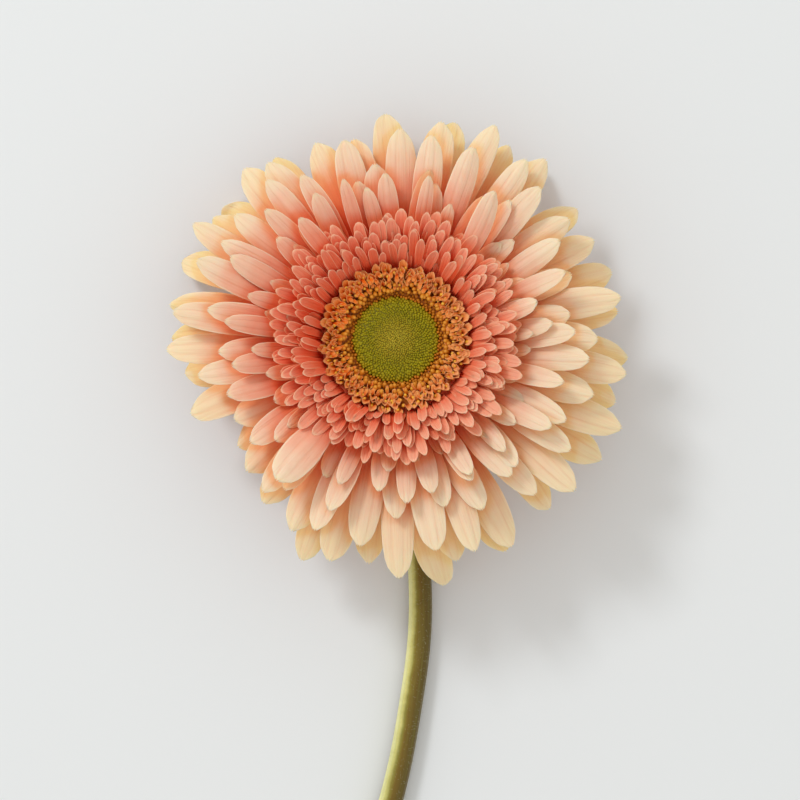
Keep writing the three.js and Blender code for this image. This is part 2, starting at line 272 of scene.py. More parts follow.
def blade_faces(rows, columns):
    """Faces of a closed blade, each of whose rows is a ring of points from both_faces."""
    ring = 2 * columns - 2
    faces = [face[::-1] for face in band_faces(rows, ring)]
    for start, flip in ((0, 1), ((rows - 1) * ring, -1)):
        for j in range(columns - 1):
            lower = [start + (ring - i) % ring for i in (j + 1, j)]
            face = [start + j, start + j + 1] + lower
            face = list(dict.fromkeys(face))
            faces.append(tuple(face[::flip]))
    return faces


def both_faces(upper, lower):
    """Rings out along the upper face and back along the lower, which share their edge columns."""
    return np.concatenate([upper, lower[:, -2:0:-1]], axis=1)


def colour_radius(middle):
    """Each point's share of the head's radius, less on the side towards the key lamp, where painted
    shade carries the coral further out.
    """
    x, y = middle[..., 0], middle[..., 1]
    share = np.hypot(x, y) / HEAD_RADIUS
    towards = np.cos(np.arctan2(y, x) - radians(PAINTED_SHADE_AZIMUTH))
    return share - PAINTED_SHADE_REACH * towards * np.sin(math.pi * np.clip(share, 0, 1))


def tip_cut(blade, form, s, u):
    """What the teeth and the rounded end take off the length, as a share of it."""
    teeth = form["teeth"] / blade["length"] * (0.5 - 0.5 * np.cos(TEETH * math.pi * u))
    rounding = form["rounding"] * u**2 * blade["width"] / blade["length"]
    return teeth * s**TEETH_FALLOFF + rounding * s**ROUNDING_FALLOFF


def blade_lift(blade, form, half, s, u):
    """How far the sheet lies above its middle line."""
    bend = ARCH_FOLD * np.abs(u) + (1 - ARCH_FOLD) * u**2
    grooves = sum(np.exp(-(((u - side * form["groove_at"]) / GROOVE_WIDTH) ** 2)) for side in (-1, 1))
    waves = blade["waves"] * s + blade["phase"] + EDGE_LAG * np.sign(u)
    wave = blade["wave"] * u**2 * np.sin(2 * math.pi * waves)
    return (
        -blade["arch"] * half * bend
        - blade["crease"] * half * np.abs(u) * s**CREASE_FALLOFF
        - form["groove"] * half * grooves
        + wave * half * s
        + blade["curl"] * s**3
    )


def blade_thickness(form, s, u):
    rounded = EDGE_THICKNESS + (1 - EDGE_THICKNESS) * np.sqrt(np.clip(1 - u**2, 0, 1))
    return form["thickness"] * rounded * (1 - TIP_THINNING * s**3)


def around(value):
    """A value of the sheet's points, for the points of both its faces."""
    return both_faces(value, value).ravel()


def blade_values(blade, index, half, middle, s, u):
    """What the looks are worked out from, at each point of a blade."""
    along = around(s)
    grain = (around(half * u), around(s * blade["length"]), np.full(along.shape, GRAIN_STEP * index))
    return {
        "along": along,
        "across": around(u),
        "underside": both_faces(np.zeros(u.shape), np.ones(u.shape)).ravel(),
        "tone": np.full(along.shape, blade["tone"]),
        "inner": np.full(along.shape, blade["inner"]),
        "radius": around(colour_radius(middle)),
        "painted_shade": np.zeros(along.shape),
        "grain": np.stack(grain, axis=1),
    }


def blade_part(blade, form, index):
    """A blade as a closed sheet with grooves, waves and a toothed tip."""
    rows, columns = form["grid"]
    share = 1 - (1 - np.linspace(0, 1, rows)) ** ROW_CROWDING
    u = np.sin(np.linspace(-1, 1, columns) * EDGE_TURN) / math.sin(EDGE_TURN)
    s, u = np.meshgrid(share, u, indexing="ij")
    half = blade["width"] / 2 * np.interp(share, *np.array(form["outline"]).T)[:, None]
    middle, across, up = blade_frames(blade, s - tip_cut(blade, form, s, u))
    body = middle + across * (half * u)[..., None]
    lift = blade_lift(blade, form, half, s, u)
    thick = blade_thickness(form, s, u)
    upper = rest(on_table(body + up * (lift + thick / 2)[..., None]), thick)
    lower = rest(on_table(body + up * (lift - thick / 2)[..., None]), 0 * thick)
    upper[:, [0, -1]] = (upper[:, [0, -1]] + lower[:, [0, -1]]) / 2
    points = both_faces(upper, lower).reshape(-1, 3)
    return points, blade_faces(rows, columns), blade_values(blade, index, half, middle, s, u)


def blade_parts(blades, form):
    return [blade_part(blade, form, k) for k, blade in enumerate(blades)]


def finished(blades, seed, wave, curl, crease=0.0):
    """Adds to each blade what only shows close to: waved edges, a curled tip and a tone of its own."""
    fine = np.random.RandomState(seed)
    blades = list(blades)
    for blade in blades:
        blade["crease"] = crease * fine.uniform(*CREASES)
        blade["wave"] = wave * fine.uniform(-1, 1)
        blade["waves"] = fine.uniform(*WAVES)
        blade["phase"] = fine.uniform(0, 1)
        blade["curl"] = curl * fine.uniform(-1, 1)
        blade["tone"] = fine.uniform(-1, 1)
    return blades


# What the cores under the petals and bracts hold in place of a blade's values, with some painted shade
# on them.
CORE_VALUES = {
    "along": 0, "across": 0, "underside": 0, "tone": 0, "inner": 1, "radius": 0.65, "painted_shade": 0.3,
    "grain": (0, 0, 0),
}

# ---- how deep each point lies among the petals, for painted shade that darkens and reddens them where they crowd ----
SHADE_CELL = 0.8
SHADE_CELLS = 160  # along each side of the map, whose middle is the head's
SHADE_START = 0.6  # below the petals' eased height
SHADE_DEPTH = 4.5  # from there to the full shade


def shade_places(points):
    return (points[:, :2] - HEAD[:2]) / SHADE_CELL + SHADE_CELLS / 2


def eased_heights(parts):
    """A map of the petals' height above the table, eased over a few cells."""
    heights = np.zeros((SHADE_CELLS, SHADE_CELLS))
    for points, _, _ in parts:
        i, j = shade_places(points).astype(int).T
        np.maximum.at(heights, (i, j), points[:, 2])
    for axis in (0, 1):
        beside = np.maximum(np.roll(heights, 1, axis), np.roll(heights, -1, axis))
        heights = np.maximum(heights, beside)
    for axis in (0, 1, 0, 1):
        heights = (np.roll(heights, 1, axis) + 2 * heights + np.roll(heights, -1, axis)) / 4
    return heights


def add_painted_shade(parts, heights):
    """Sets how deep each point lies, from the four cells of the map round it, which sets the painted
    shade.
    """
    for points, _, values in parts:
        places = shade_places(points) - 0.5
        i, j = places.astype(int).T
        u, v = (places % 1).T
        near = lerp(heights[i, j], heights[i, j + 1], v)
        far = lerp(heights[i + 1, j], heights[i + 1, j + 1], v)
        below = lerp(near, far, u) - points[:, 2]
        values["painted_shade"] = np.clip((below - SHADE_START) / SHADE_DEPTH, 0, 1)


# ---- ray florets ----
RAY_COUNT = 148
RAY_SPREAD = 3
RAY_ROOT_RADIUS = 17.4
RAY_ROOT_HEIGHTS = (-8.4, -7.2)  # here and below, of the lowest ray and the highest
RAY_RISE = (4, 50)
RAY_FALL = (-56, 24)
RAY_WIDTH = (8.6, 2.9)
RAYS_AT_FULL_LENGTH = 0.223  # this share of the rays, from the lowest, before they get shorter
SHORTEST_RAY = 0.54  # its tip's share of the head's radius
SHORTENING = 0.9  # below 1, the first petals to get shorter do so fastest
# A form is a grid of rows and columns, the share of the width at each share of the length, and sizes.
RAY_FORM = {
    "grid": (34, 15),
    "outline": (
        (0, 0.3), (0.15, 0.42), (0.35, 0.68), (0.5, 0.87), (0.62, 0.98), (0.7, 1), (0.8, 0.94),
        (0.88, 0.83), (0.94, 0.67), (0.98, 0.45), (1, 0.19),
    ),
    "thickness": 0.42, "groove": 0.045, "groove_at": 0.36, "teeth": 0.65, "rounding": 0.05,
}
# Where the head isn't round: azimuth, change in the rays' length, half the angle that it takes up.
UNEVEN_SIDES = ((62, 0.06, 28), (150, 0.05, 28), (211, -0.12, 22))


def reach_at(azimuth):
    """How long the rays on an azimuth are, against those of a round head."""
    reach = 1
    for middle, change, width in UNEVEN_SIDES:
        away = (azimuth - middle + 180) % 360 - 180
        reach += change * math.exp(-((away / width) ** 2))
    return reach


def ray_blades():
    """The rays in a spiral, from the lowest to the highest."""
    draw = seeded(28473)
    for k in range(RAY_COUNT):
        inner = k / (RAY_COUNT - 1)
        past_full = max(0, (inner - RAYS_AT_FULL_LENGTH) / (1 - RAYS_AT_FULL_LENGTH))
        shorter = past_full**SHORTENING
        steeper = 1 - (1 - inner) ** 2
        rise = lerp(*RAY_RISE, steeper) + spread(draw, 3)
        fall = lerp(*RAY_FALL, steeper) + spread(draw, 7)
        root = (RAY_ROOT_RADIUS, lerp(*RAY_ROOT_HEIGHTS, inner))
        even_tip = HEAD_RADIUS * lerp(1, SHORTEST_RAY, shorter) + spread(draw, RAY_SPREAD)
        azimuth = k * GOLDEN_ANGLE + spread(draw, 3)
        yield blade_to(
            even_tip * reach_at(azimuth), root, rise, fall, azimuth=azimuth,
            width=lerp(*RAY_WIDTH, shorter) + spread(draw, 0.7), sweep=spread(draw, 0.06),
            twist=spread(draw, 14), arch=0.16 + spread(draw, 0.14), inner=inner,
        )


def receptacle():
    profile = [
        (NEAR_AXIS, RECEPTACLE_FLOOR),
        (RECEPTACLE_RADIUS, RECEPTACLE_FLOOR),
        (RECEPTACLE_RADIUS, RECEPTACLE_TOP),
        (NEAR_AXIS, RECEPTACLE_TOP),
    ]
    return turned(profile, CORE_VALUES, sides=48)


# ---- trans florets ----
TRANS_COUNT = 104
BETWEEN_COUNT = 240  # more of them, which fill the gaps between the frame's own
TRANS_ROOT_RADII = (17.6, 17.3)  # here and below, of the lowest trans floret and the highest
TRANS_ROOT_HEIGHTS = (-1.6, 0.2)
TRANS_TIP_RADII = (31, 21)
TRANS_RISE = (50, 78)
TRANS_FALL = (18, 52)
TRANS_WIDTH = (2.9, 2.1)
TRANS_RING_BEVEL = 0.6
TRANS_FORM = {
    "grid": (15, 11),
    "outline": (
        (0, 0.6), (0.2, 0.71), (0.4, 0.82), (0.6, 0.94), (0.76, 1), (0.86, 0.96), (0.93, 0.82),
        (0.97, 0.62), (1, 0.34),
    ),
    "thickness": 0.45, "groove": 0.09, "groove_at": 0.34, "teeth": 0.15, "rounding": 0.05,
}
STANDING_ROOT = (17.6, -0.6)
STANDING_DROOP = 24  # how much flatter their tips are
# The few long florets that stand up out of the trans florets: azimuth, tip radius, width, slope at the
# root, sweep and twist.
STANDING = (
    (48, 41, 5.8, 44, 0.16, 34),
    (232, 45, 9, 38, 0, -4),
    (128, 36, 4.4, 46, 0.04, 8),
    (11, 35, 4.8, 43, 0.05, -8),
)


def trans_blades(draw, count, start):
    """Trans florets, which are troughs, in a spiral that starts with the lowest on an azimuth."""
    for k in range(count):
        inner = k / (count - 1)
        rise = lerp(*TRANS_RISE, inner) + spread(draw, 5)
        fall = lerp(*TRANS_FALL, inner) + spread(draw, 8)
        root = (lerp(*TRANS_ROOT_RADII, inner), lerp(*TRANS_ROOT_HEIGHTS, inner))
        tip = lerp(*TRANS_TIP_RADII, inner**SHORTENING) + spread(draw, 1.6)
        yield blade_to(
            tip, root, rise, fall, azimuth=start + k * GOLDEN_ANGLE + spread(draw, 3),
            width=lerp(*TRANS_WIDTH, inner) + spread(draw, 0.35), sweep=spread(draw, 0.09),
            twist=spread(draw, 16), arch=-0.2 + spread(draw, 0.14), inner=inner,
        )


def standing_blades():
    for azimuth, tip, width, rise, sweep, twist in STANDING:
        yield blade_to(
            tip, STANDING_ROOT, rise, rise - STANDING_DROOP,
            azimuth=azimuth, width=width, sweep=sweep, twist=twist, arch=0.2, inner=1,
        )


def trans_ring():
    inside = FLORET_RADIUS + RING_GAP
    profile = [
        (inside, RING_FLOOR),
        (TRANS_RADIUS, RING_FLOOR),
        (TRANS_RADIUS, TRANS_RING_TOP - TRANS_RING_BEVEL),
        (TRANS_RADIUS - TRANS_RING_BEVEL, TRANS_RING_TOP),
        (inside, TRANS_RING_TOP),
        (inside, RING_FLOOR),
    ]
    return turned(profile, CORE_VALUES)


# ---- the disc: one spiral of florets, tight green buds inside and open ones outside ----
# Against the radius: the spacing of the florets, the height of the surface that carries them, and how
# far they lean outwards.
DISC_SPACING = (
    (0, 0.44), (6, 0.56), (9.6, 0.72), (10.6, 0.8), (11.6, 0.98), (12.6, 1.25), (14, 1.36), (17.3, 1.42)
)
DISC_HEIGHT = (
    (0, GREEN_CROWN), (3, 2.0), (6, 1.68), (8.5, 1.25), (10.2, 0.8), (11.2, 0.45), (12.4, 0.85),
    (14, 1.6), (15.6, 2.45), (17.2, 2.85),
)
DISC_TILT = ((0, 0), (10, 4), (12, -20), (13.6, -32), (15, 10), (17, 30))
# The radii at which the green buds' orange neighbours, the closed florets and the open ones end.
BUD_LIMIT = 12.2
PEG_LIMIT = 14.0
DISC_LIMIT = 17.3
FIRST_AREA = 0.05  # of the innermost floret's circle, over pi
CELL_AREA = 0.866  # that each floret takes up, in squares of its spacing: that of a hexagonal pattern
SITE_SCATTER = (0.13, 0.14)  # outwards and aside, as shares of the spacing
BUD_RIPENESS, PEG_RIPENESS, ANTHER_RIPENESS = 0.0, 0.5, 1.0
BEAD_SIDES = 6
BEAD_RADIUS = 0.52  # as a share of the spacing
BEAD_STRETCH = 1.15
OUTER_BEAD_SPACING = 0.92  # leaves the orange beads a little further apart than the green ones
PEG_SIDES = 9
PEG_SIZE = (0.58, 2.4)  # radius and height
ANTHER_SIZE = (0.42, 1.5)
ANTHER_SHIFT = 0.5  # towards the middle of the head
# The lips of the youngest of the open florets and of the oldest.
LIP_FALL = (74, 26)
LIP_LENGTH = (2.3, 3.3)
LIP_WIDTH = (1.5, 2.1)
LIP_CUPPING = (1.5, 0.9)
LIP_SEAT = (0.25, 0.7)  # how far inside the floret's place and below the surface it starts
LOBE_SEAT = (0.5, 0.5)
GREEN_CORE_INSET = 0.1
GREEN_CORE_DEPTH = 0.02  # under the disc's surface
ORANGE_CORE_DEPTH = 0.08
FLORET_OVERHANG = 16.9  # how far the florets' slope reaches out over its ring
FLORET_HEEL = 1.4  # height at which the slope's back meets the ring's upright outside
DISC_CORE_STEPS = 8
# The cores' surfaces between the florets take the dark colour low on a floret: painted shade.
DISC_CORE_VALUES = {"along": 0.3, "tone": 0, "radius": 0.5, "ripe": BUD_RIPENESS}
LIP_FORM = {
    "grid": (9, 11),
    "outline": ((0, 0.45), (0.3, 0.7), (0.6, 1), (0.85, 1), (0.95, 0.85), (1, 0.6)),
    "thickness": 0.24, "groove": 0, "groove_at": 0.5, "teeth": 0.25, "rounding": 0.12,
}


def at_radius(table, radius):
    return np.interp(radius, *np.array(table, dtype=float).T)


def disc_sites(fine):
    """(radius, azimuth, spacing) of each floret, from the middle out."""
    area, count = FIRST_AREA, 0
    while area < DISC_LIMIT**2:
        radius = math.sqrt(area)
        spacing = at_radius(DISC_SPACING, radius)
        aside = math.degrees(fine.normal(0, SITE_SCATTER[1]) * spacing / (radius + spacing))
        outwards = fine.normal(0, SITE_SCATTER[0]) * spacing
        yield radius + outwards, count * GOLDEN_ANGLE + aside, spacing
        area += CELL_AREA * spacing**2 / math.pi
        count += 1


def disc_seat(radius, inwards, below):
    """The radius and height of a root, a little inside a place on the disc and below its surface."""
    return radius - inwards, at_radius(DISC_HEIGHT, radius) - below


def egg(radius, azimuth, tilt, rings, values, sides, stretch=1.0):
    """A closed round solid of (radius, height) rings on the disc, stretched outwards by a factor.

    values holds one number for the whole solid, or one for each ring.
    """
    outwards, side = directions(azimuth)
    axis = leaning(azimuth, tilt)
    out = np.cross(side, axis)
    foot = outwards * radius + np.array([0, 0, at_radius(DISC_HEIGHT, radius)])
    angle = 2 * math.pi * np.arange(sides) / sides
    circle = stretch * np.cos(angle)[:, None] * out + np.sin(angle)[:, None] * side
    points = np.concatenate([foot + r * circle + z * axis for r, z in rings])
    faces = band_faces(len(rings), sides)
    faces += [cap(0, sides)[::-1], cap((len(rings) - 1) * sides, sides)]
    at_points = {
        key: np.repeat(value, sides) if np.ndim(value) else np.full(len(points), value)
        for key, value in values.items()
    }
    return on_table(points), faces, at_points


def bead(radius, azimuth, spacing, fine):
    """A tight bud."""
    size = BEAD_RADIUS * spacing * fine.uniform(0.86, 1.14)
    top = fine.uniform(0.75, 1.2)
    rings = [(0.95 * size, -0.2), (size, 0.05), (0.82 * size, 0.2 * top), (0.4 * size, 0.34 * top)]
    values = {
        "along": [0, 0.3, 0.75, 1],
        "tone": fine.uniform(-1, 1),
        "radius": radius / GREEN_RADIUS,
        "ripe": BUD_RIPENESS,
    }
    tilt = at_radius(DISC_TILT, radius) + fine.uniform(-8, 8)
    return egg(radius, azimuth, tilt, rings, values, BEAD_SIDES, BEAD_STRETCH)


def peg(radius, azimuth, fine, size, tall, ripe):
    """A closed floret or a column of anthers, with a round head."""
    size, tall = size * fine.uniform(0.86, 1.14), tall * fine.uniform(0.8, 1.2)
    rings = [
        (0.62 * size, -0.6), (0.7 * size, 0.1 * tall), (0.92 * size, 0.42 * tall), (size, 0.66 * tall),
        (0.84 * size, 0.86 * tall), (0.52 * size, 0.97 * tall), (0.14 * size, tall),
    ]
    values = {
        "along": [0, 0.15, 0.45, 0.65, 0.85, 0.96, 1],
        "tone": fine.uniform(-1, 1),
        "radius": radius / TRANS_RADIUS,
        "ripe": ripe,
    }
    tilt = at_radius(DISC_TILT, radius) + fine.uniform(-14, 14)
    return egg(radius, azimuth, tilt, rings, values, PEG_SIDES)


def lip(radius, azimuth, fine):
    """The outer lip of an open floret: a deep cup that opens towards the middle of the head."""
    older = (radius - PEG_LIMIT) / (DISC_LIMIT - PEG_LIMIT)
    return dict(
        azimuth=azimuth + fine.uniform(-3, 3),
        root=disc_seat(radius, *LIP_SEAT),
        rise=84 + fine.uniform(-8, 8),
        fall=lerp(*LIP_FALL, older) + fine.uniform(-14, 14),
        length=lerp(*LIP_LENGTH, older) * fine.uniform(0.85, 1.15),
        width=lerp(*LIP_WIDTH, older) * fine.uniform(0.85, 1.15),
        sweep=fine.uniform(-0.1, 0.1), twist=fine.uniform(-24, 24),
        arch=-lerp(*LIP_CUPPING, older) * fine.uniform(0.7, 1.3),
        inner=older,
    )


def curled_lobe(radius, azimuth, fine):
    """One of an open floret's inner lobes, which rolls back towards the middle of the head."""
    return dict(
        azimuth=azimuth + fine.uniform(-5, 5),
        root=disc_seat(radius, *LOBE_SEAT),
        rise=96 + fine.uniform(-8, 8),
        fall=215 + fine.uniform(-40, 40),
        length=2.9 * fine.uniform(0.8, 1.15),
        width=0.8 * fine.uniform(0.8, 1.25),
        sweep=fine.uniform(-0.15, 0.15), twist=fine.uniform(-20, 20), arch=0.3, inner=0,
    )


def disc_core(inside, outside, below, back):
    """What the florets stand on, just under the disc's surface; back is the outside of its section."""
    radii = np.linspace(inside, outside, DISC_CORE_STEPS)
    surface = [(r, at_radius(DISC_HEIGHT, r) - below) for r in radii]
    profile = [(inside, RING_FLOOR), *surface, *back, (inside, RING_FLOOR)]
    points, faces, values = turned(profile, DISC_CORE_VALUES)
    return points, [face[::-1] for face in faces], values


def disc_florets():
    """The parts of the green middle, those of the orange ring, and the blades of the open florets."""
    fine = np.random.RandomState(5)
    green, orange, lips = [], [], []
    for radius, azimuth, spacing in disc_sites(fine):
        if radius < GREEN_RADIUS:
            green.append(bead(radius, azimuth, spacing, fine))
        elif radius < BUD_LIMIT:
            orange.append(bead(radius, azimuth, OUTER_BEAD_SPACING * spacing, fine))
        elif radius < PEG_LIMIT:
            orange.append(peg(radius, azimuth, fine, *PEG_SIZE, PEG_RIPENESS))
        else:
            lips += [lip(radius, azimuth, fine), curled_lobe(radius, azimuth, fine)]
            orange.append(peg(radius - ANTHER_SHIFT, azimuth, fine, *ANTHER_SIZE, ANTHER_RIPENESS))
    return green, orange, lips


def green_core():
    outside = GREEN_RADIUS - GREEN_CORE_INSET
    return disc_core(NEAR_AXIS, outside, GREEN_CORE_DEPTH, [(outside, RING_FLOOR)])


def orange_core():
    back = [(FLORET_RADIUS, FLORET_HEEL), (FLORET_RADIUS, RING_FLOOR)]
    return disc_core(GREEN_RADIUS + RING_GAP, FLORET_OVERHANG, ORANGE_CORE_DEPTH, back)


# ---- involucre ----
BRACTS = 17  # in a row
BELL_RIM_RADIUS = 16.8
# The bell's outside, from its rim down: radius and height.
BELL = (
    (17.2, -10.4), (16.6, -12.4), (15.2, -14.8), (13.4, -16.6), (10.8, -18.5), (7.2, -20.2),
    (3.6, INVOLUCRE_FLOOR),
)
# Rows of bracts, from the lowest: turn as a share of a bract, root, rise, fall, length, width.
BRACT_ROWS = (
    (0, (5.2, -20.9), 18, 52, 9.5, 4.0),
    (0.5, (8.6, -19.6), 27, 64, 11, 4.6),
    (0, (12.2, -17.5), 38, 78, 10.5, 4.8),
)
BRACT_FORM = {
    "grid": (16, 9),
    "outline": ((0, 0.86), (0.3, 1), (0.5, 0.9), (0.7, 0.66), (0.85, 0.4), (0.95, 0.18), (1, 0.06)),
    "thickness": 0.7, "groove": 0, "groove_at": 0.5, "teeth": 0, "rounding": 0,
}


def bract_blades():
    fine = np.random.RandomState(8)
    for row, (turn, root, rise, fall, length, width) in enumerate(BRACT_ROWS):
        for k in range(BRACTS):
            yield dict(
                azimuth=360 * (k + turn) / BRACTS + fine.uniform(-2, 2),
                root=root,
                rise=rise + fine.uniform(-2, 2),
                fall=fall + fine.uniform(-7, 5),
                length=length * fine.uniform(0.92, 1.08),
                width=width * fine.uniform(0.9, 1.1),
                sweep=fine.uniform(-0.03, 0.03), twist=fine.uniform(-6, 6),
                arch=-0.3, inner=row / (len(BRACT_ROWS) - 1),
            )


def bell():
    rim = (BELL_RIM_RADIUS, INVOLUCRE_TOP)
    profile = [(NEAR_AXIS, INVOLUCRE_TOP), rim, *BELL, (NEAR_AXIS, INVOLUCRE_FLOOR)]
    points, faces, values = turned(profile, CORE_VALUES)
    return points, [face[::-1] for face in faces], values


# ---- scape ----
SCAPE_SIDES = 40
NECK_STEPS = 36
LYING_STEPS = 260
SCAPE_TOP = 1.2  # how far it runs up into the involucre
TOP_RADII = (3.6, 3.5)  # inside the involucre and just below it
NECK_TAPER = 0.35  # below 1, it narrows fastest just under the head
SCAPE_CLEARANCE = 0.02
RIBS = 11
RIB_RELIEF = 0.02  # as a share of the radius, like the next one
BULGE_RELIEF = 0.012
RIB_WANDER = 0.6  # in radians
WANDER_LENGTH = 23
BULGE_LENGTH = 9
RELIEF_BELOW = 0.25  # the share of the relief that is left on the underside
# The cut end: the skin's rounded edge, then the pale, slightly hollow pith. For each section, how far it
# is past the scape's last one, its share of the radius and its share of pith.
CUT_END = ((0.25, 0.97, 0), (0.35, 0.9, 0.4), (0.25, 0.75, 0.6), (-0.1, 0.45, 0.8), (-0.2, 0.1, 1))
HAIRS = 5200
HAIR_RADIUS = 0.035
HAIR_LENGTH = (0.35, 0.85)
HAIR_SINK = 0.05
HAIR_LEAN = 0.45
HAIR_CORNERS = (0, 2.1, 4.2)  # in radians
HAIRS_BELOW = 0.35  # how far they reach under the scape on either side, in radians
HAIR_CLEARANCE = 0.01


def heading_at(distance):
    at, headings = np.array(STEM_HEADINGS, dtype=float).T
    i = int(np.clip(np.searchsorted(at, distance) - 1, 0, len(at) - 2))
    t = np.clip((distance - at[i]) / (at[i + 1] - at[i]), 0, 1)
    return lerp(headings[i], headings[i + 1], t * t * (3 - 2 * t))


def neck_points(start, end, forward):
    """The bend, a curve that leaves the head along its axis and ends flat on the table."""
    high = start - HEAD_AXIS * NECK_HANDLES[0] * NECK_DROP
    low = end - forward * NECK_HANDLES[1] * NECK_REACH
    t = np.linspace(0, 1, NECK_STEPS, endpoint=False)[:, None]
    return (1 - t) ** 3 * start + 3 * (1 - t) ** 2 * t * high + 3 * (1 - t) * t**2 * low + t**3 * end


def lying_points(start, length):
    """The stretch along the table, which follows its headings and rises as it gets thicker."""
    points, at = [], start.copy()
    for i in range(LYING_STEPS + 1):
        points.append(at.copy())
        turn = radians(heading_at((i + 0.5) * length / LYING_STEPS))
        at = at - np.array([math.sin(turn), math.cos(turn), 0]) * length / LYING_STEPS
        at[2] = lerp(NECK_RADIUS, CUT_RADIUS, (i + 1) / LYING_STEPS)
    return points


def scape_path():
    """Points of the scape's middle line and its radius at each."""
    foot_of_head = on_axis(INVOLUCRE_FLOOR - RING_GAP)
    heading = radians(STEM_HEADINGS[0][1])
    forward = np.array([-math.sin(heading), -math.cos(heading), 0])
    foot = foot_of_head + forward * NECK_REACH
    foot[2] = NECK_RADIUS
    neck = neck_points(foot_of_head, foot, forward)
    neck_length = np.linalg.norm(np.diff(neck, axis=0), axis=1).sum()
    lying = lying_points(foot, STEM_LENGTH - neck_length)
    middle = np.concatenate([[on_axis(INVOLUCRE_FLOOR + SCAPE_TOP)], neck, lying])
    neck_radius = lerp(TOP_RADII[1], NECK_RADIUS, np.linspace(0, 1, NECK_STEPS) ** NECK_TAPER)
    lying_radius = np.linspace(NECK_RADIUS, CUT_RADIUS, LYING_STEPS + 1)
    return middle, np.concatenate([[TOP_RADII[0]], neck_radius, lying_radius])


def scape_directions(middle):
    along = np.gradient(middle, axis=0)
    along /= np.linalg.norm(along, axis=1)[:, None]
    side = np.array([1.0, 0, 0]) - along[:, :1] * along
    side /= np.linalg.norm(side, axis=1)[:, None]
    return along, side, np.cross(along, side)


def scape_sections():
    """Middle, directions, radius, distance and pith of each section, with those of the cut end."""
    middle, radius = scape_path()
    along, side, up = scape_directions(middle)
    distance = np.concatenate([[0], np.cumsum(np.linalg.norm(np.diff(middle, axis=0), axis=1))])
    past, share, pith = np.array(CUT_END, dtype=float).T
    middle = np.concatenate([middle, middle[-1] + along[-1] * past[:, None]])
    radius = np.concatenate([radius, radius[-1] * share])
    pith = np.concatenate([np.zeros(len(distance)), pith])
    side, up, distance = (
        np.concatenate([rows, np.repeat(rows[-1:], len(CUT_END), axis=0)])
        for rows in (side, up, distance)
    )
    return middle, side, up, radius, distance, pith


def scape_relief(angle, distance):
    """Ribs that wander along the scape over a gentle bulge, as shares of the radius."""
    wander = RIB_WANDER * np.sin(distance[:, None] / WANDER_LENGTH)
    relief = RIB_RELIEF * np.cos(RIBS * angle + wander)
    relief = relief + BULGE_RELIEF * np.sin(distance[:, None] / BULGE_LENGTH + 2 * angle)
    return relief * np.where(np.sin(angle) < 0, RELIEF_BELOW, 1)


def scape_part():
    middle, side, up, radius, distance, pith = scape_sections()
    rows = len(middle)
    angle = 2 * math.pi * np.arange(SCAPE_SIDES) / SCAPE_SIDES
    r = radius[:, None] * (1 + scape_relief(angle, distance))
    points = (
        middle[:, None]
        + (r * np.cos(angle))[..., None] * side[:, None]
        + (r * np.sin(angle))[..., None] * up[:, None]
    ).reshape(-1, 3)
    points[:, 2] = np.maximum(points[:, 2], SCAPE_CLEARANCE)
    faces = [face[::-1] for face in band_faces(rows, SCAPE_SIDES)]
    faces += [cap(0, SCAPE_SIDES), cap((rows - 1) * SCAPE_SIDES, SCAPE_SIDES)[::-1]]
    distance, pith = (np.repeat(value, SCAPE_SIDES) for value in (distance, pith))
    angle = np.tile(angle, rows)
    return points, faces, scape_values(distance / STEM_LENGTH, angle, distance, pith, 0 * pith)


def scape_values(along, angle, distance, pith, hair):
    """What the scape's look is worked out from, at each point."""
    return {
        "along": along,
        "facing_for_painted_light": np.cos(angle),
        "above": np.sin(angle),
        "pith": pith,
        "hair": hair,
        "grain": np.stack([angle * NECK_RADIUS, distance, pith], axis=1),
    }


def scape_hairs():
    """Short soft hairs all along the scape, each a thin three-sided spike."""
    fine = np.random.RandomState(12)
    middle, radius = scape_path()
    along, side, up = scape_directions(middle)
    row = fine.uniform(2, len(middle) - 2, HAIRS)
    i = row.astype(int)
    t = (row - i)[:, None]
    centre = middle[i] * (1 - t) + middle[i + 1] * t
    angle = fine.uniform(-HAIRS_BELOW, math.pi + HAIRS_BELOW, HAIRS)[:, None]
    normal = side[i] * np.cos(angle) + up[i] * np.sin(angle)
    tangent = np.cross(along[i], normal)
    foot = centre + normal * (radius[i][:, None] - HAIR_SINK)
    tall = fine.uniform(*HAIR_LENGTH, HAIRS)[:, None]
    lean = fine.normal(0, HAIR_LEAN, (HAIRS, 2))
    tip = foot + tall * (normal + lean[:, :1] * along[i] + lean[:, 1:] * tangent)
    corners = [
        foot + HAIR_RADIUS * (math.cos(turn) * along[i] + math.sin(turn) * tangent)
        for turn in HAIR_CORNERS
    ]
    points = np.stack([*corners, tip], axis=1).reshape(-1, 3)
    points[:, 2] = np.maximum(points[:, 2], HAIR_CLEARANCE)
    faces = []
    for k in range(0, len(points), 4):
        faces += [(k, k + 1, k + 3), (k + 1, k + 2, k + 3), (k + 2, k, k + 3), (k + 2, k + 1, k)]
    row, angle = (np.repeat(np.ravel(value), 4) for value in (row, angle))
    return points, faces, scape_values(row / len(middle), angle, row, 0 * row, 0 * row + 1)


# ---- materials ----
SCATTER_RADIUS = (0.8, 0.5, 0.35)  # how far red, green and blue light go through the tissue, relatively
SCATTER_SCALE = 0.6


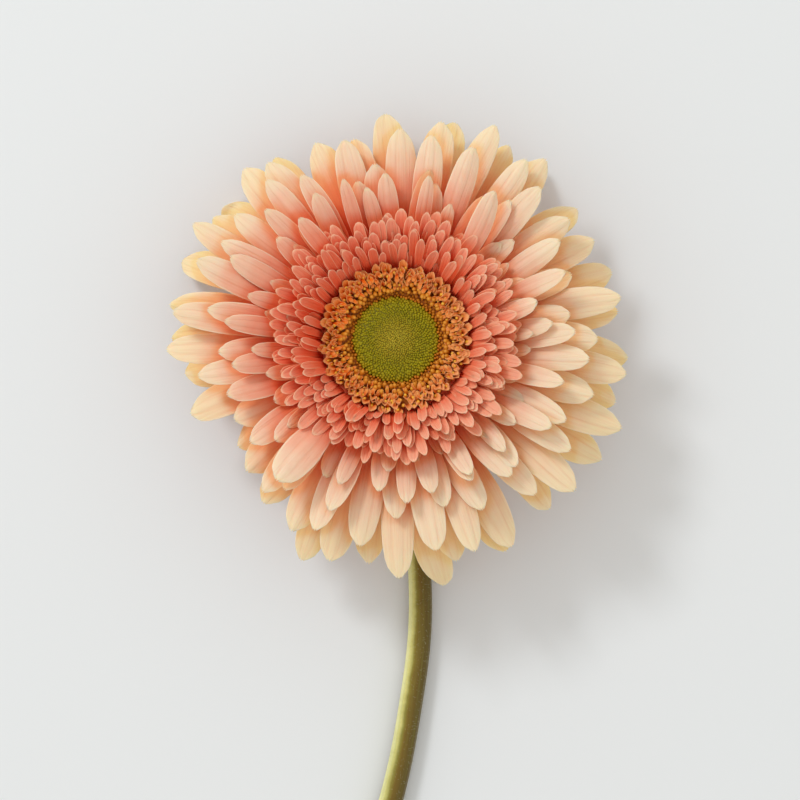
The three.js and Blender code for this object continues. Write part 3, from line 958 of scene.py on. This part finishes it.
class Look:
    """A material built from nodes."""

    def __init__(self, name):
        self.material = bpy.data.materials.new(name)
        self.material.use_nodes = True
        self.tree = self.material.node_tree
        self.shader = self.tree.nodes["Principled BSDF"]

    def put(self, node, inputs):
        """Sets a node's inputs, or links them to what comes out of other nodes."""
        for key, value in inputs.items():
            socket = node.inputs[key]
            if isinstance(value, bpy.types.NodeSocket):
                self.tree.links.new(value, socket)
            elif socket.type == "RGBA":
                socket.default_value = (*value, 1)
            else:
                socket.default_value = value

    def node(self, kind, inputs, output=0, **settings):
        """What comes out of a new node."""
        made = self.tree.nodes.new("ShaderNode" + kind)
        for key, value in settings.items():
            setattr(made, key, value)
        self.put(made, inputs)
        return made.outputs[output]

    def value(self, name, output="Fac"):
        """What the mesh holds under a name."""
        return self.node("Attribute", {}, output, attribute_name=name)

    def math(self, operation, a, b=0):
        return self.node("Math", {0: a, 1: b}, operation=operation)

    def plus(self, a, b):
        return self.math("ADD", a, b)

    def times(self, a, b):
        return self.math("MULTIPLY", a, b)

    def mix(self, share, a, b, how="MIX"):
        inputs = {"Factor": share, "A": a, "B": b}
        return self.node("Mix", inputs, "Result", data_type="RGBA", blend_type=how)

    def tinted(self, share, colour, tint):
        """A colour that is multiplied by a tint where share is 1."""
        return self.mix(share, colour, tint, "MULTIPLY")

    def ramp(self, share, *stops):
        made = self.node("ValToRGB", {"Fac": share}, "Color")
        elements = made.node.color_ramp.elements
        while len(elements) < len(stops):
            elements.new(0.5)
        for element, (place, colour) in zip(elements, stops):
            element.position = place
            element.color = (*colour, 1)
        return made

    def remap(self, value, low, high, to_low=0, to_high=1):
        inputs = dict(enumerate((value, low, high, to_low, to_high)))
        return self.node("MapRange", inputs, "Result", interpolation_type="SMOOTHSTEP")

    def noise(self, scale, stretch=(1, 1, 1), detail=2.0):
        grain = self.value("grain", "Vector")
        place = self.node("Mapping", {"Vector": grain, "Scale": stretch}, "Vector")
        return self.node("TexNoise", {"Vector": place, "Scale": scale, "Detail": detail}, "Fac")

    def bump(self, height, distance):
        normal = self.node("Bump", {"Height": height, "Distance": distance * MM}, "Normal")
        self.put(self.shader, {"Normal": normal})

    def finish(self, colour, roughness, sheen=0, flesh=0, gloss=0.35):
        """flesh is how much light goes through the thin tissue."""
        inputs = {
            "Base Color": colour,
            "Roughness": roughness,
            "Specular IOR Level": gloss,
            "Sheen Weight": sheen,
            "Sheen Roughness": 0.4,
            "Subsurface Weight": flesh,
            "Subsurface Radius": SCATTER_RADIUS,
            "Subsurface Scale": SCATTER_SCALE * MM,
        }
        self.put(self.shader, inputs)
        return self.material


def veined(look, colour, groove_at, strength):
    """Fine lines along a petal, and painted shade darker where the two grooves run; also their relief.
    """
    across = look.math("ABSOLUTE", look.value("across"))
    veins = look.noise(2.6, (1, 0.03, 1), 3.0)
    # painted shade in the grooves
    from_groove = look.math("ABSOLUTE", look.math("SUBTRACT", across, groove_at))
    groove = look.times(look.remap(from_groove, 0, 0.13, 1, 0), 0.45)
    line = look.plus(look.remap(veins, 0.4, 0.75, 0, 0.55), groove)
    look.bump(look.math("SUBTRACT", 1, line), 0.1)
    return look.tinted(look.times(line, strength), colour, (0.94, 0.76, 0.68))


# Painted shade and a painted red glow: what multiplies a petal's colour where the petals crowd, against
# the share of the head's radius. It stands in for the shade down among the petals and for light that
# reddens as it comes through them.
PAINTED_SHADE_TINTS = ((0.3, (1, 0.58, 0.4)), (0.62, (1, 0.64, 0.44)), (1, (0.97, 0.91, 0.7)))


def petal_look(name, stops, edge_colour, tip_colour, groove_at, warmth, rim=0.86, flesh=0.45):
    """warmth is how much yellower the lowest petals are; rim is where the pale edge begins."""
    look = Look(name)
    along, radius = look.value("along"), look.value("radius")
    place = look.plus(look.times(along, 0.38), look.times(radius, 0.62))
    blotch = look.times(look.math("SUBTRACT", look.noise(0.16), 0.5), 0.24)
    place = look.plus(look.plus(place, blotch), look.times(look.value("tone"), 0.03))
    colour = look.ramp(place, *stops)
    lowest = look.remap(look.value("inner"), 0, 0.5, warmth, 0)
    colour = look.tinted(lowest, colour, (1, 0.95, 0.79))
    # The pale edge: partly the petals' own paler margin, partly painted light that keeps the thin edge
    # bright where its shading is dim.
    edge = look.remap(look.math("ABSOLUTE", look.value("across")), rim, 1, 0, 0.9)
    colour = look.mix(look.times(edge, look.remap(along, 0.2, 0.8)), colour, edge_colour)
    colour = veined(look, colour, groove_at, 0.6)
    colour = look.mix(look.remap(along, 0.93, 1, 0, 0.55), colour, tip_colour)
    under = look.times(look.value("underside"), 0.6)
    colour = look.tinted(under, colour, (1, 0.97, 0.88))
    # painted shade, darker and redder where the petals crowd
    tint = look.ramp(radius, *PAINTED_SHADE_TINTS)
    colour = look.tinted(look.value("painted_shade"), colour, tint)
    return look.finish(colour, 0.6, flesh=flesh, gloss=0)


def ray_look():
    stops = (
        (0.2, (0.84, 0.11, 0.05)), (0.335, (0.86, 0.19, 0.1)), (0.44, (0.87, 0.28, 0.165)),
        (0.53, (0.88, 0.38, 0.25)), (0.625, (0.89, 0.48, 0.33)), (0.72, (0.9, 0.59, 0.42)),
        (0.82, (0.91, 0.7, 0.51)), (0.94, (0.92, 0.76, 0.55)),
    )
    return petal_look("ray_petal", stops, (1, 0.78, 0.57), (0.96, 0.76, 0.5), 0.36, 0.9)


def trans_look():
    stops = (
        (0.17, (0.85, 0.09, 0.03)), (0.3, (0.87, 0.15, 0.07)), (0.42, (0.87, 0.2, 0.105)),
        (0.56, (0.88, 0.28, 0.17)), (0.72, (0.9, 0.42, 0.28)),
    )
    return petal_look("trans_petal", stops, (1, 0.56, 0.36), (1, 0.66, 0.44), 0.34, 0, rim=0.8)


def lip_look():
    stops = (
        (0.2, (0.78, 0.1, 0.006)), (0.32, (0.84, 0.2, 0.03)), (0.44, (0.88, 0.31, 0.09)),
        (0.58, (0.92, 0.42, 0.17)),
    )
    edge_colour, tip_colour = (0.97, 0.56, 0.23), (0.97, 0.53, 0.21)
    return petal_look("disc_floret_lip", stops, edge_colour, tip_colour, 0.5, 1, rim=0.8, flesh=0.1)


def floret_look():
    look = Look("disc_floret")
    along, ripe = look.value("along"), look.value("ripe")
    # Each ramp runs from a floret's foot to its top: partly its own colour, partly painted shade darker
    # at the foot, down between the florets, and a painted highlight paler at the top.
    bud = look.ramp(
        along, (0, (0.34, 0.07, 0.002)), (0.5, (0.44, 0.12, 0.003)), (1, (0.62, 0.22, 0.01))
    )
    closed = look.ramp(
        along, (0, (0.4, 0.08, 0.002)), (0.45, (0.58, 0.17, 0.006)),
        (0.85, (0.67, 0.25, 0.018)), (1, (0.74, 0.33, 0.04)),
    )
    anther = look.ramp(
        along, (0, (0.75, 0.22, 0.004)), (0.6, (0.82, 0.38, 0.01)), (1, (0.88, 0.52, 0.07))
    )
    colour = look.mix(look.remap(ripe, BUD_RIPENESS, PEG_RIPENESS), bud, closed)
    colour = look.mix(look.remap(ripe, PEG_RIPENESS, ANTHER_RIPENESS), colour, anther)
    darker = look.remap(look.value("tone"), -1, 1, 0.6, 0)
    colour = look.tinted(darker, colour, (0.85, 0.7, 0.6))
    return look.finish(colour, 0.4, flesh=0.1, gloss=0.2)


def green_look():
    look = Look("green_bud")
    colour = look.ramp(
        look.value("radius"),
        (0.05, (0.42, 0.34, 0.025)), (0.35, (0.34, 0.27, 0.012)), (0.6, (0.27, 0.235, 0.004)),
        (0.82, (0.29, 0.25, 0.002)), (0.97, (0.34, 0.24, 0.002)),
    )
    # Painted shade: the low part of each bud is darker, in the gaps between the buds, most towards the
    # rim.
    painted_gap_shade = look.remap(look.value("radius"), 0.3, 0.9, 0.45, 0.95)
    low = look.times(look.remap(look.value("along"), 0.2, 0.95, 1, 0), painted_gap_shade)
    colour = look.tinted(low, colour, (0.5, 0.5, 0.4))
    lighter = look.remap(look.value("tone"), -1, 1, 0, 0.7)
    colour = look.tinted(lighter, colour, (1.3, 1.28, 1.4))
    return look.finish(colour, 0.5, flesh=0.15, gloss=0.2)


def bract_look():
    look = Look("bract")
    along = look.value("along")
    colour = look.ramp(
        look.plus(along, look.times(look.value("tone"), 0.06)),
        (0, (0.16, 0.22, 0.04)), (0.5, (0.11, 0.17, 0.03)), (0.85, (0.1, 0.12, 0.03)),
        (1, (0.2, 0.07, 0.04)),
    )
    veins = look.noise(2.2, (1, 0.06, 1), 3.0)
    pale = look.mix(look.remap(veins, 0.4, 0.75, 0, 0.35), colour, (0.3, 0.34, 0.14))
    edge = look.remap(look.math("ABSOLUTE", look.value("across")), 0.7, 1, 0, 0.5)
    colour = look.mix(edge, pale, (0.32, 0.33, 0.16))
    look.bump(veins, 0.15)
    return look.finish(colour, 0.6, sheen=0.35, flesh=0.08)


def scape_look():
    look = Look("scape")
    # Painted light and shade: the scape is paler on the -X side, which faces the key lamp, and darker
    # brown on the +X side and underneath.
    facing_for_painted_light = look.plus(look.value("facing_for_painted_light"), look.times(look.noise(0.25), 0.35))
    facing_for_painted_light = look.plus(facing_for_painted_light, look.remap(look.value("above"), -0.3, 0.3, 0.7, 0))
    colour = look.ramp(
        look.remap(facing_for_painted_light, -0.95, 1),
        (0, (0.9, 0.89, 0.44)), (0.17, (0.66, 0.62, 0.21)), (0.36, (0.27, 0.22, 0.035)),
        (0.6, (0.19, 0.12, 0.018)), (1, (0.13, 0.09, 0.016)),
    )
    streaks = look.noise(1.6, (1, 0.02, 1), 3.0)
    colour = look.mix(look.remap(streaks, 0.4, 0.8, 0, 0.35), colour, (0.26, 0.27, 0.06))
    towards_end = look.remap(look.value("along"), 0.75, 1, 0, 0.5)
    colour = look.mix(towards_end, colour, (0.22, 0.26, 0.06))
    speckle = look.noise(5.0, (1, 0.5, 1), 1)
    colour = look.mix(look.remap(speckle, 0.62, 0.7, 0, 0.3), colour, (0.12, 0.05, 0.015))
    paler = look.remap(look.value("pith"), 0.3, 0.9)
    pith = look.mix(paler, (0.3, 0.36, 0.12), (0.62, 0.64, 0.42))
    colour = look.mix(look.remap(look.value("pith"), 0.05, 0.4), colour, pith)
    colour = look.mix(look.times(look.value("hair"), 0.8), colour, (0.62, 0.62, 0.42))
    look.bump(streaks, 0.12)
    return look.finish(colour, 0.55, sheen=0.15, flesh=0.08, gloss=0.2)


# ---- table, light and camera ----
PHOTO_SIDE = 800  # pixels
PHOTO_SCALE = 0.24  # millimetres a pixel at the head
DISC_PIXEL = (396, 340)  # where the photo shows the middle of the disc
CAMERA_DISTANCE = 900
CAMERA_NEAR = 10
SENSOR = 36
TABLE_HALF = 1600
TABLE_COLOUR = (0.815, 0.843, 0.852)
KEY_OFFSET = (-920, 1060, 1350)  # from the head
KEY_SIZE = 420
KEY_POWER = 12.2
KEY_COLOUR = (0.97, 1.0, 1.03)
FILL = 0.765
FILL_COLOUR = (1.0, 0.975, 0.94)


def table():
    mesh = bpy.data.meshes.new("table")
    side = TABLE_HALF * MM
    corners = [(-side, -side, 0), (side, -side, 0), (side, side, 0), (-side, side, 0)]
    mesh.from_pydata(corners, [], [(0, 1, 2, 3)])
    mesh.materials.append(Look("table_top").finish(TABLE_COLOUR, 0.85))
    floor = bpy.data.objects.new("table", mesh)
    bpy.context.scene.collection.objects.link(floor)


def key_light():
    light = bpy.data.lights.new("key", "AREA")
    light.size = KEY_SIZE * MM
    light.energy = KEY_POWER
    light.color = KEY_COLOUR
    lamp = bpy.data.objects.new("key", light)
    lamp.location = Vector(HEAD + np.array(KEY_OFFSET)) * MM
    lamp.rotation_euler = (-Vector(KEY_OFFSET)).to_track_quat("-Z", "Y").to_euler()
    bpy.context.scene.collection.objects.link(lamp)


def fill_light():
    world = bpy.data.worlds.new("studio")
    world.use_nodes = True
    background = world.node_tree.nodes["Background"]
    background.inputs["Color"].default_value = (*FILL_COLOUR, 1)
    background.inputs["Strength"].default_value = FILL
    bpy.context.scene.world = world


def camera():
    made = bpy.data.cameras.new("camera")
    made.sensor_width = SENSOR
    made.lens = SENSOR * CAMERA_DISTANCE / (PHOTO_SIDE * PHOTO_SCALE)
    made.clip_start = CAMERA_NEAR * MM
    view = bpy.data.objects.new("camera", made)
    right, down = ((PHOTO_SIDE / 2 - place) * PHOTO_SCALE for place in DISC_PIXEL)
    view.location = Vector((HEAD[0] + right, HEAD[1] - down, HEAD[2] + CAMERA_DISTANCE)) * MM
    bpy.context.scene.collection.objects.link(view)
    bpy.context.scene.camera = view


# ---- the flower ----
def dress_petals(ray_petal, trans_petal):
    rays = blade_parts(finished(ray_blades(), 3, wave=0.05, curl=1.0, crease=0.3), RAY_FORM)
    own = finished(trans_blades(seeded(31), TRANS_COUNT, 0), 4, wave=0.06, curl=0.4)
    between = trans_blades(seeded(32), BETWEEN_COUNT, GOLDEN_ANGLE / 2)
    between = finished(between, 14, wave=0.08, curl=0.6)
    trans, filling = blade_parts(own, TRANS_FORM), blade_parts(between, TRANS_FORM)
    standing = blade_parts(finished(standing_blades(), 6, wave=0.05, curl=0.4, crease=0.3), RAY_FORM)
    petals = rays + trans + filling + standing
    add_painted_shade(petals, eased_heights(petals))
    half = RAY_COUNT // 2
    make_piece("ray_petals_outer", "ray_florets", [receptacle(), *rays[:half]], ray_petal)
    make_piece("ray_petals_inner", "ray_florets", rays[half:], ray_petal)
    make_piece("trans_petals", "trans_florets", [trans_ring(), *trans], trans_petal)
    make_piece("trans_petals_between", "trans_florets", filling, trans_petal)
    make_piece("standing_petals", "trans_florets", standing, ray_petal)


def dress_disc(green_bud, floret, floret_lip):
    green, orange, lips = disc_florets()
    lips = blade_parts(finished(lips, 7, wave=0.25, curl=0.1), LIP_FORM)
    make_piece("green_bud_beads", "green_buds", [green_core(), *green], green_bud)
    make_piece("disc_floret_pegs", "disc_florets", [orange_core(), *orange], floret)
    make_piece("disc_floret_lips", "disc_florets", lips, floret_lip)


def dress_involucre(bract):
    bracts = blade_parts(finished(bract_blades(), 9, wave=0.03, curl=0.4), BRACT_FORM)
    make_piece("involucre_bracts", "involucre", [bell(), *bracts], bract)


def dress_scape(skin):
    make_piece("scape_stalk", "scape", [scape_part(), scape_hairs()], skin)


bpy.context.scene.view_settings.view_transform = "Standard"
camera()
key_light()
fill_light()
table()
dress_petals(ray_look(), trans_look())
dress_disc(green_look(), floret_look(), lip_look())
dress_involucre(bract_look())
dress_scape(scape_look())
